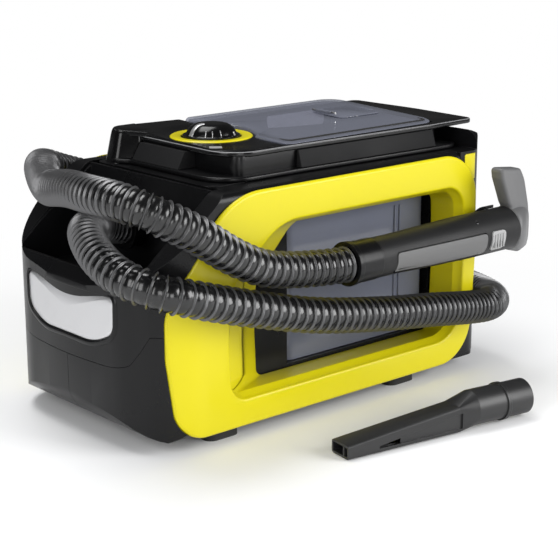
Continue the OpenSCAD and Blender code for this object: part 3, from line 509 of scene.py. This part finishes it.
# ---- selector knob
def lathe(profile, centre, n):
    """Turned shape with n points round; profile is a list of (radius, height)."""
    loops = []
    for r, z in profile:
        loop = []
        for k in range(n):
            a = 2 * math.pi * k / n
            loop.append((centre[0] + r * math.cos(a), centre[1] + r * math.sin(a), centre[2] + z))
        loops.append(loop)
    return skin(loops)


ring_lo, ring_hi = box_mm("knob_ring")
knob_c = (ring_lo + ring_hi) / 2
deck_top = box_mm("top_deck")[1][2]
# the knob's profile as (radius, height): a thin skirt, then the dome
KNOB = [(0.1, 0), (28, 0), (28.6, 0.4), (28.6, 1.0), (27.6, 1.5), (26, 1.7), (25.3, 2.1),
        (24.8, 3.2), (23.8, 5.2), (22.2, 7.4), (20, 9.4), (17.6, 11), (15.6, 11.8), (13.6, 12.2),
        (10, 12.4), (0.1, 12.5)]
DOME_FROM = 5              # first point of the dome
KNOB_Z = deck_top + 0.4    # a running gap above the deck
piece("knob_dome", *lathe(KNOB, (knob_c[0], knob_c[1], KNOB_Z), 96), "selector_knob", GLOSS_BLACK,
      "casing_black", ["knob"], 40)


def knob_strip(bearing, half, top, stand=0.5):
    """Raised strip that climbs one side of the dome from its foot to a given height.

    bearing is its direction in degrees, half its half width, stand how far it is proud.
    """
    direction = math.radians(bearing)
    along = np.array((math.cos(direction), math.sin(direction)))
    across = np.array((-along[1], along[0]))
    line = [np.array(p) for p in KNOB[DOME_FROM:] if p[1] <= top and p[0] > 5]
    loops = []
    for i, q in enumerate(line):
        t = unit(line[min(i + 1, len(line) - 1)] - line[max(i - 1, 0)])
        out = np.array((t[1], -t[0]))
        loop = []
        for du, h in ((-half, -0.4), (half, -0.4), (half, 0.6 * stand), (half * 0.7, stand),
                      (-half * 0.7, stand), (-half, 0.6 * stand)):
            r, z = q + h * out
            side = along * r + across * du
            loop.append((knob_c[0] + side[0], knob_c[1] + side[1], KNOB_Z + z))
        loops.append(loop)
    return skin(loops)


# the pointer, three fine lines and a short mark
strips = [knob_strip(180, 2.6, 20, 0.7), knob_strip(218, 0.4, 9), knob_strip(234, 0.4, 9),
          knob_strip(254, 0.4, 9), knob_strip(296, 1.6, 5.5)]
piece("knob_strip", *join(*strips), "selector_knob", SILVER, "badge_silver", ["knob_pointer"], 40)


# ---- deck round the knob: dished, rising towards the far side
DECK = rounded([(-79, 57, 6), (-79, -82, 32), (-10, -80, 3), (-10, 84, 3), (-90, 92, 12),
                (-97, 72, 7)], 16)
DECK_FOOT_Z = 264.25                 # underside of the skin
DECK_NEAR_Z, DECK_RISE = 264.7, 6.4  # height at the near edge, and the rise to the far edge
DECK_NEAR_Y, DECK_SPAN = -87, 185    # where the rise begins, and over what distance
DISH_Z, DISH_R, DISH_BLEND = 265.9, 42, 16
HOLE_R = 41.4                        # edge of the skin round the knob ring


def smoothstep(t):
    """0 to 1 with level ends."""
    t = min(1.0, max(0.0, t))
    return t * t * (3 - 2 * t)


def deck_height(x, y):
    """Height of the deck: level round the knob, then a rise towards the far side."""
    rise = DECK_NEAR_Z + DECK_RISE * min(1.0, max(0.0, (y - DECK_NEAR_Y) / DECK_SPAN)) ** 2
    r = math.hypot(x - knob_c[0], y - knob_c[1])
    return mix(DISH_Z, rise, smoothstep((r - DISH_R) / DISH_BLEND))


def polar(outline, centre, n, least):
    """Distance from a centre to an outline at n bearings, no less than a given radius."""
    a = np.roll(outline, -1, 0) - outline
    pts = []
    for k in range(n):
        d = np.array((math.cos(2 * math.pi * k / n), math.sin(2 * math.pi * k / n)))
        best = least
        for p, e in zip(outline - centre, a):
            det = e[0] * d[1] - e[1] * d[0]
            if abs(det) < 1e-9:
                continue
            u = (p[1] * d[0] - p[0] * d[1]) / det
            r = (e[0] * p[1] - e[1] * p[0]) / det
            if -1e-6 <= u <= 1 + 1e-6 and r > best:
                best = r
        pts.append(centre + best * d)
    return np.array(pts)


def deck_skin():
    """Skin between the deck's outline and the knob ring, closed underneath the ring."""
    n = 180
    middle = knob_c[:2]
    edge = polar(DECK, middle, n, 43.2)
    turns = [2 * math.pi * k / n for k in range(n)]
    circle = np.array([middle + HOLE_R * np.array((math.cos(a), math.sin(a))) for a in turns])
    rings = [[(x, y, DECK_FOOT_Z) for x, y in edge]]
    for inset, sink in ((0.0, 0.45), (0.03, 0.12), (0.07, 0.0)):
        rings.append([(x, y, max(264.3, deck_height(x, y) - sink))
                      for x, y in mix(edge, circle, inset)])
    for t in (0.2, 0.35, 0.5, 0.65, 0.8, 0.92, 1.0):
        rings.append([(x, y, deck_height(x, y)) for x, y in mix(edge, circle, t)])
    rings.append([(x, y, 264.5) for x, y in circle])
    rings.append([(x, y, 264.4) for x, y in mix(circle, middle[None], 0.85)])
    return skin(rings)


def tick():
    """Small printed mark on the deck beside the knob ring."""
    bearing, distance = math.radians(235), 60.5
    along = np.array((math.cos(bearing), math.sin(bearing)))
    across = np.array((-math.sin(bearing), math.cos(bearing)))
    outline = [knob_c[:2] + along * (distance + u) + across * v
               for u, v in rect(-4.5, -6, 4.5, 6, 0.6, 4)]
    return skin([[(x, y, deck_height(x, y) + h) for x, y in outline] for h in (-0.2, 0.2)])


piece("deck_skin", *deck_skin(), "machine", GLOSS_BLACK, "casing_black", ["top_deck"], 40)
piece("deck_tick", *tick(), "machine", BUTTON, "button_grey")


# ---- clear lid of the fresh-water tank
lid_lo, lid_hi = box_mm("fresh_lid")
LID_NEAR_Z, LID_RISE, LID_WALL = 264.9, 6.9, 2.3


def lid_outline(x0, y, x1, r0, r1, notch):
    """Rectangle with corner radii r0 and r1, and a round notch of radius notch for the knob."""
    box = rounded([(x0, -y, r0), (x1, -y, r1), (x1, y, r1), (x0, y, r0)], 14)
    half = math.acos((x0 - knob_c[0]) / notch)
    arc = [knob_c[:2] + notch * np.array((math.cos(a), math.sin(a)))
           for a in np.linspace(half, -half, 24)]
    return np.vstack([box, arc])


def lid_height(y):
    """Crown of the lid: flush with the rim on the near side, full height on the far side."""
    t = min(1.0, max(0.0, (y - lid_lo[1]) / (lid_hi[1] - lid_lo[1])))
    return LID_NEAR_Z + LID_RISE * (1 - (1 - t) ** 2)


def lid_shell():
    """Thin crowned shell: its underside, its rounded edge, then its top, from middle to middle."""
    o = lid_outline(lid_lo[0], lid_hi[1], lid_hi[0], 8, 24, 44)
    low = lid_lo[2]
    middle = o.mean(0)
    under, top = grow(o, -4), grow(o, -4.5)
    rings = [[(x, y, max(low, lid_height(y) - LID_WALL)) for x, y in mix(under, middle, t)]
             for t in (0.97, 0.7, 0.4, 0.15, 0.0)]
    rings.append([(x, y, low) for x, y in grow(o, -2.2)])
    for inset, share in ((0, 0), (0, 0.35), (0.5, 0.62), (1.4, 0.82), (2.6, 0.94)):
        rings.append([(x, y, mix(low, lid_height(y), share)) for x, y in grow(o, -inset)])
    rings += [[(x, y, lid_height(y)) for x, y in mix(top, middle, t)]
              for t in (0.0, 0.15, 0.4, 0.7, 0.97)]
    return skin(rings)


piece("lid_shell", *lid_shell(), "fresh_water_tank", CLEAR, "clear_lid", ["fresh_lid"], 50)


# ---- filler flap lying on the lid's crown, and the tank's far wall seen through the lid, with a painted glare on it
flap_lo, flap_hi = box_mm("filler_flap")
pin_lo, pin_hi = box_mm("flap_pin")


def flap_panel():
    """Flap with its lifting tab and the barrel round its hinge pin."""
    o = rect(flap_lo[0] + 4, flap_lo[1], flap_hi[0] - 5, flap_hi[1], 6)
    levels = [(0.25, -0.3), (0.6, 0.0), (1.0, -0.1), (1.3, -0.7)]
    panel = skin([[(x, y, lid_height(y) + h) for x, y in grow(o, g)] for h, g in levels])
    tab = rect(flap_hi[0] - 6, -9, flap_hi[0], 9, 2.5)
    lift = skin([[(x, y, lid_height(y) + h) for x, y in grow(tab, g)]
                 for h, g in ((0.3, -0.2), (0.7, 0), (1.5, -0.5))])
    a = np.linspace(0, 2 * math.pi, 20, endpoint=False)
    cx, cz = (pin_lo[0] + pin_hi[0]) / 2, (pin_lo[2] + pin_hi[2]) / 2
    barrel = skin([[(cx + r * math.cos(t), y, cz + r * math.sin(t)) for t in a]
                   for y, r in ((-11.4, 1.5), (-11, 1.85), (11, 1.85), (11.4, 1.5))])
    return join(panel, lift, barrel)


piece("flap_panel", *flap_panel(), "flap", CLEAR, "clear_lid", ["filler_flap"], 40)


def far_wall_panel():
    """Pale panel inside the tank's far wall, glowing faintly as a painted glare."""
    wall_y = box_mm("fresh_tank")[1][1] - 2.9
    o = rounded([(103, 249, 3), (184, 245, 3), (186, 262, 3), (101, 262, 3)], 6)
    return skin([[(x, wall_y - h, z) for x, z in grow(o, g)]
                 for h, g in ((0, 0), (0.8, 0), (1.3, -0.6))])


piece("tank_far_panel", *far_wall_panel(), "fresh_water_tank", PALE_GLOW, "clear_tank", [], 40)


# ---- carrying rim: two flanges with a web between them, and the riser at the far badge-end corner
def with_hole(outer, inner, z0, z1, r=1.2):
    """Plate with a hole, its outer edges rounded; the outlines have equal point counts."""
    rings = []
    for base, degrees in ((z0 + r, (0, 30, 60, 90)), (z1 - r, (90, 120, 150, 180))):
        for a in map(math.radians, degrees):
            rings.append((grow(outer, -r + r * math.sin(a)), base - r * math.cos(a)))
    rings += [(inner, z1), (inner, z0)]
    return skin([[(x, y, z) for x, y in p] for p, z in rings], cyclic=True)


def resample(p, n, start):
    """n points evenly round an outline, beginning at the point nearest a direction from its middle."""
    k = int(np.argmax((p - p.mean(0)) @ np.array(start)))
    q = np.vstack([np.roll(p, -k, 0), np.roll(p, -k, 0)[:1]])
    s = np.concatenate([[0], np.cumsum(np.linalg.norm(np.diff(q, axis=0), axis=1))])
    t = np.linspace(0, s[-1], n, endpoint=False)
    return np.stack([np.interp(t, s, q[:, i]) for i in (0, 1)], 1)


rim_lo, rim_hi = box_mm("carry_rim")
TOP_Z, LOW_Z = rim_hi[2], rim_lo[2]
TOP_FLANGE = rounded([(-80, 56, 6), (-82, -87, 34), (-10, -86, 90), (185, -92, 120), (250, -90, 10),
                      (254, 0, 300), (250, 90, 10), (185, 92, 120), (-10, 90, 90), (-92, 94, 14),
                      (-98, 72, 8)], 16)
LOW_FLANGE = rounded([(-95, 54, 6), (-96, -92, 38), (0, -92, 120), (170, -98, 120), (224, -98, 20),
                      (224, 98, 20), (170, 98, 120), (0, 95, 120), (-98, 97, 16), (-104, 70, 8)], 16)
# the opening for the tanks
OPENING = rounded([(-8, -80, 4), (200, -80, 4), (200, 80, 4), (-8, 80, 4)], 10)
N_RIM = 480    # points round each flange


def rim_plate(outline, z0, z1, r):
    """Flange or web between two heights; both outlines begin at their (-1, -1) corner."""
    outer, inner = (resample(p, N_RIM, (-1, -1)) for p in (outline, OPENING))
    return with_hole(outer, inner, z0, z1, r)


# the two upper bands of the top edge's rounding are painted light grey: a painted highlight along the
# rim's edge
lip_highlight_faces = set(range(5 * N_RIM, 7 * N_RIM))
piece("rim_top_flange", *rim_plate(TOP_FLANGE, TOP_Z - 5, TOP_Z, 1.3), "machine", GLOSS_BLACK,
      "casing_black", ["carry_rim"], 40, (LIP_HIGHLIGHT, lip_highlight_faces))
piece("rim_low_flange", *rim_plate(LOW_FLANGE, LOW_Z, LOW_Z + 4.7, 1.6), "machine", BLACK,
      "casing_black", [], 40)
WEB = rounded([(-72, -83, 10), (203, -83, 10), (203, 83, 10), (-72, 83, 10)], 12)
piece("rim_web", *rim_plate(WEB, LOW_Z + 3, TOP_Z - 4, 0.5), "machine", BLACK,
      "casing_black", [], 40)
RISER_LOW = rounded([(-82, 54, 4), (-60, 54, 4), (-60, 95, 4), (-100, 96, 15), (-105, 70, 10)], 14)
RISER_TOP = rounded([(-81, 56, 4), (-60, 56, 4), (-60, 93, 4), (-92, 93, 13), (-98, 71, 9)], 14)


def riser():
    """Blends the lower flange into the deck at the far badge-end corner.

    Each level is (share of the height, share of the way to RISER_TOP, growth).
    """
    rings = []
    levels = [(0, 0, 0.8), (0.05, 0.05, 0.2), (0.16, 0.18, 0), (0.35, 0.42, 0.2), (0.6, 0.7, 0.4),
              (0.8, 0.9, 0.3), (0.9, 0.97, -0.2), (0.95, 1, -0.9), (0.985, 1, -2), (1, 1, -3.4)]
    for f, t, g in levels:
        rings.append([(x, y, mix(LOW_Z - 1, deck_height(x, y) + 0.1, f))
                      for x, y in grow(mix(RISER_LOW, RISER_TOP, t), g)])
    return skin(rings)


piece("rim_riser", *riser(), "machine", GLOSS_BLACK, "casing_black", [], 40)


# ---- badge: a raised border and a plain face on the curved front
FRONT_PLAN = rounded([(-100, -125, 1), (-100, 125, 1), (-203, 125, 64), (-214, 0, 400),
                      (-203, -125, 64)], 24)
LEAN_Z, LEAN_R, LEAN_MOST = 139.3, 30, 22    # where the face begins to lean back, and its arc
FRONT_LINE = np.array(sorted([(y, x) for x, y in FRONT_PLAN if x < -150]))


def front_x(y, z):
    """Front face of the badge end: plan curve, leaning back above the badge."""
    lean = min(max(0.0, z - LEAN_Z), LEAN_MOST)
    plan = float(np.interp(y, FRONT_LINE[:, 0], FRONT_LINE[:, 1]))
    return plan + LEAN_R - math.sqrt(LEAN_R ** 2 - lean ** 2)


# (y, z, corner radius), seen from the front
BADGE = rounded([(-70, 146, 6), (-69, 112, 16), (-42, 100, 60), (42, 100, 60), (69, 112, 16),
                 (70, 146, 6)], 12)


def on_front(outline, height):
    """A (y, z) outline laid on the front face, raised by a height."""
    return [(front_x(y, z) - height, y, z) for y, z in outline]


def badge_border():
    """Raised bead; its section is a list of (distance outside the badge, height)."""
    rings = [(0.5, -1.4), (0.5, 0.5), (1.0, 1.2), (1.8, 1.5), (3.0, 1.5), (4.6, 1.1), (5.8, 0.3),
             (6.2, -0.5), (6.2, -1.4)]
    return skin([on_front(grow(BADGE, g), h) for g, h in rings], cyclic=True)


def badge_face():
    """Plain, slightly crowned plate inside the bead."""
    middle = np.array((0.0, 126.0))
    edge = grow(BADGE, -0.9)
    rings = [on_front(grow(BADGE, -0.1), -1.3), on_front(grow(BADGE, -0.1), -0.5),
             on_front(grow(BADGE, -0.35), -0.2), on_front(edge, -0.05)]
    for t in (0.1, 0.25, 0.4, 0.55, 0.7, 0.82, 0.92, 0.985):
        rings.append(on_front(mix(edge, middle[None], t), 0.5 * t))
    return skin(rings)


piece("badge_border", *badge_border(), "machine", BLACK, "casing_black", [], 40)
piece("badge_face", *badge_face(), "machine", SILVER, "badge_silver", ["badge_plate"], 40)


# ---- floor head of the wand
WAND_Y = -153.0    # plane of the wand beside the machine


def nozzle_head():
    """Flat hood: outline (x, z, corner radius), levels (distance from WAND_Y, growth)."""
    outline = rounded([(231.6, 135, 3), (248, 130.5, 8), (261.5, 136, 6), (262, 176, 60),
                       (253, 209, 40), (246, 220, 4), (215, 223.5, 4), (217, 212, 8),
                       (229, 184, 12), (231.6, 180.5, 1)], 10)
    levels = [(-8.6, -3.4), (-8.3, -2.2), (-7.4, -1), (-6, -0.2), (-4.6, 0), (4.6, 0), (6, -0.2),
              (7.4, -1), (8.3, -2.2), (8.6, -3.4)]
    return skin([[(x, WAND_Y + d, z) for x, z in grow(outline, g)] for d, g in levels])


def nozzle_throat():
    """Blends the wand's round end into the flat mouth.

    Each section is (x, half width, low z, high z, power); a power of 2 is round, more is squarer.
    """
    rings = []
    sections = [(231.7, 21.6, 136.4, 179.6, 2.0), (232.3, 22.4, 135.6, 180.4, 2.0),
                (234, 22.6, 135, 180.6, 2.1), (239, 21.6, 133.6, 181, 2.2),
                (245, 18.8, 132, 181.4, 2.4), (250, 15.4, 131.6, 181, 2.7),
                (255, 12, 132.2, 180, 3.0), (259, 9.6, 133.8, 178.6, 3.3),
                (261.2, 8.4, 135.6, 177, 3.5), (262, 7, 137.4, 175, 3.5)]
    for x, half, lo, hi, power in sections:
        ring = []
        for a in np.linspace(0, 2 * math.pi, 64, endpoint=False):
            c, q = math.cos(a), math.sin(a)
            ring.append((x, WAND_Y + half * math.copysign(abs(q) ** (2 / power), q),
                         (lo + hi) / 2 + (hi - lo) / 2 * math.copysign(abs(c) ** (2 / power), c)))
        rings.append(ring)
    return skin(rings)


piece("head_shell", *join(nozzle_head(), nozzle_throat()), "floor_head", NOZZLE, "nozzle_grey",
      ["upholstery_nozzle"], 40)

# ------------------------------------------------------------------ stage
# white floor that fades into the white background away from the object, for the camera only
FADE_FROM, FADE_TO = 0.2, 0.75
FLOOR = bpy.data.materials.new("floor_white")
tree = node_tree(FLOOR)
out = tree.nodes.new("ShaderNodeOutputMaterial")
matt = tree.nodes.new("ShaderNodeBsdfPrincipled")
matt.inputs["Roughness"].default_value = 0.7
speck = tree.nodes.new("ShaderNodeTexNoise")
speck.inputs["Scale"].default_value = 3.0
ramp = tree.nodes.new("ShaderNodeMapRange")
ramp.inputs["To Min"].default_value = 0.9
ramp.inputs["To Max"].default_value = 0.93
link(tree, speck.outputs["Fac"], ramp.inputs["Value"])
link(tree, ramp.outputs["Result"], matt.inputs["Base Color"])
glow = tree.nodes.new("ShaderNodeEmission")
glow.inputs["Strength"].default_value = 1.0
where = tree.nodes.new("ShaderNodeNewGeometry")
away = tree.nodes.new("ShaderNodeVectorMath")
away.operation = "LENGTH"
link(tree, where.outputs["Position"], away.inputs[0])
fade = tree.nodes.new("ShaderNodeMapRange")
fade.interpolation_type = "SMOOTHSTEP"
fade.inputs["From Min"].default_value = FADE_FROM
fade.inputs["From Max"].default_value = FADE_TO
link(tree, away.outputs["Value"], fade.inputs["Value"])
seen_by = tree.nodes.new("ShaderNodeLightPath")
both = tree.nodes.new("ShaderNodeMath")
both.operation = "MULTIPLY"
link(tree, fade.outputs["Result"], both.inputs[0])
link(tree, seen_by.outputs["Is Camera Ray"], both.inputs[1])
fader = tree.nodes.new("ShaderNodeMixShader")
link(tree, both.outputs["Value"], fader.inputs[0])
link(tree, matt.outputs["BSDF"], fader.inputs[1])
link(tree, glow.outputs["Emission"], fader.inputs[2])
link(tree, fader.outputs["Shader"], out.inputs["Surface"])
bpy.ops.mesh.primitive_grid_add(size=24, x_subdivisions=4, y_subdivisions=4, location=(0, 0, 0))
floor = bpy.context.object
floor.name = "studio_floor"
floor.data.materials.append(FLOOR)

# the world is white to the camera, soft to diffuse rays and nearly dark in reflections
world = bpy.data.worlds.new("studio")
bpy.context.scene.world = world
world.use_nodes = True
wt = world.node_tree
wt.nodes.clear()
wout = wt.nodes.new("ShaderNodeOutputWorld")
seen = wt.nodes.new("ShaderNodeBackground")
seen.inputs["Color"].default_value = (1, 1, 1, 1)
seen.inputs["Strength"].default_value = 1.0
ambient = wt.nodes.new("ShaderNodeBackground")
ambient.inputs["Color"].default_value = (0.95, 0.97, 1.0, 1)
ambient.inputs["Strength"].default_value = 0.36
gloom = wt.nodes.new("ShaderNodeBackground")
gloom.inputs["Color"].default_value = (1, 1, 1, 1)
gloom.inputs["Strength"].default_value = 0.05
rays = wt.nodes.new("ShaderNodeLightPath")
pick_gloss = wt.nodes.new("ShaderNodeMixShader")
wt.links.new(rays.outputs["Is Glossy Ray"], pick_gloss.inputs[0])
wt.links.new(ambient.outputs["Background"], pick_gloss.inputs[1])
wt.links.new(gloom.outputs["Background"], pick_gloss.inputs[2])
pick = wt.nodes.new("ShaderNodeMixShader")
wt.links.new(rays.outputs["Is Camera Ray"], pick.inputs[0])
wt.links.new(pick_gloss.outputs["Shader"], pick.inputs[1])
wt.links.new(seen.outputs["Background"], pick.inputs[2])
wt.links.new(pick.outputs["Shader"], wout.inputs["Surface"])


def softbox(name, place, target, size, power):
    """White rectangular light aimed at a target; metres and watts."""
    data = bpy.data.lights.new(name, "AREA")
    data.shape = "RECTANGLE"
    data.size, data.size_y = size
    data.energy = power
    obj = bpy.data.objects.new(name, data)
    bpy.context.scene.collection.objects.link(obj)
    obj.location = place
    obj.rotation_mode = "QUATERNION"
    obj.rotation_quaternion = (Vector(target) - Vector(place)).to_track_quat("-Z", "Y")


softbox("key_right", (1.1, -1.9, 0.9), (0, -0.1, 0.12), (1.3, 1.3), 42)
softbox("fill_left", (-1.9, -0.5, 0.9), (-0.1, 0, 0.12), (0.9, 1.4), 18)
softbox("top", (-0.2, 0.5, 2.0), (0, 0, 0.2), (1.4, 1.0), 26)
softbox("front_low", (-0.9, -1.9, 0.5), (-0.1, 0, 0.1), (0.7, 0.7), 8)

# ------------------------------------------------------------------ camera
cam_data = bpy.data.cameras.new("camera")
# fitted to the edges of the casing in the photo
SENSOR_MM, FOCAL_SHARE = 36.0, 1513.98 / 558    # focal length as a share of the picture's width
CAMERA_AT = (-0.96003, -1.15442, 0.51760)
AZIMUTH, PITCH, ROLL = -41.275, 15.078, -0.17
cam_data.sensor_width = SENSOR_MM
cam_data.lens = FOCAL_SHARE * SENSOR_MM
cam = bpy.data.objects.new("camera", cam_data)
bpy.context.scene.collection.objects.link(cam)
azimuth, pitch, roll = (math.radians(v) for v in (AZIMUTH, PITCH, ROLL))
back = Vector((math.sin(azimuth) * math.cos(pitch), -math.cos(azimuth) * math.cos(pitch),
               math.sin(pitch)))
right0 = Vector((0, 0, 1)).cross(back).normalized()
up0 = back.cross(right0)
right = math.cos(roll) * right0 + math.sin(roll) * up0
up = -math.sin(roll) * right0 + math.cos(roll) * up0
turn = Matrix((right, up, back)).transposed()
cam.matrix_world = Matrix.Translation(CAMERA_AT) @ turn.to_4x4()
cam_data.clip_start, cam_data.clip_end = 0.05, 60
bpy.context.scene.camera = cam
bpy.context.scene.view_settings.view_transform = "Standard"
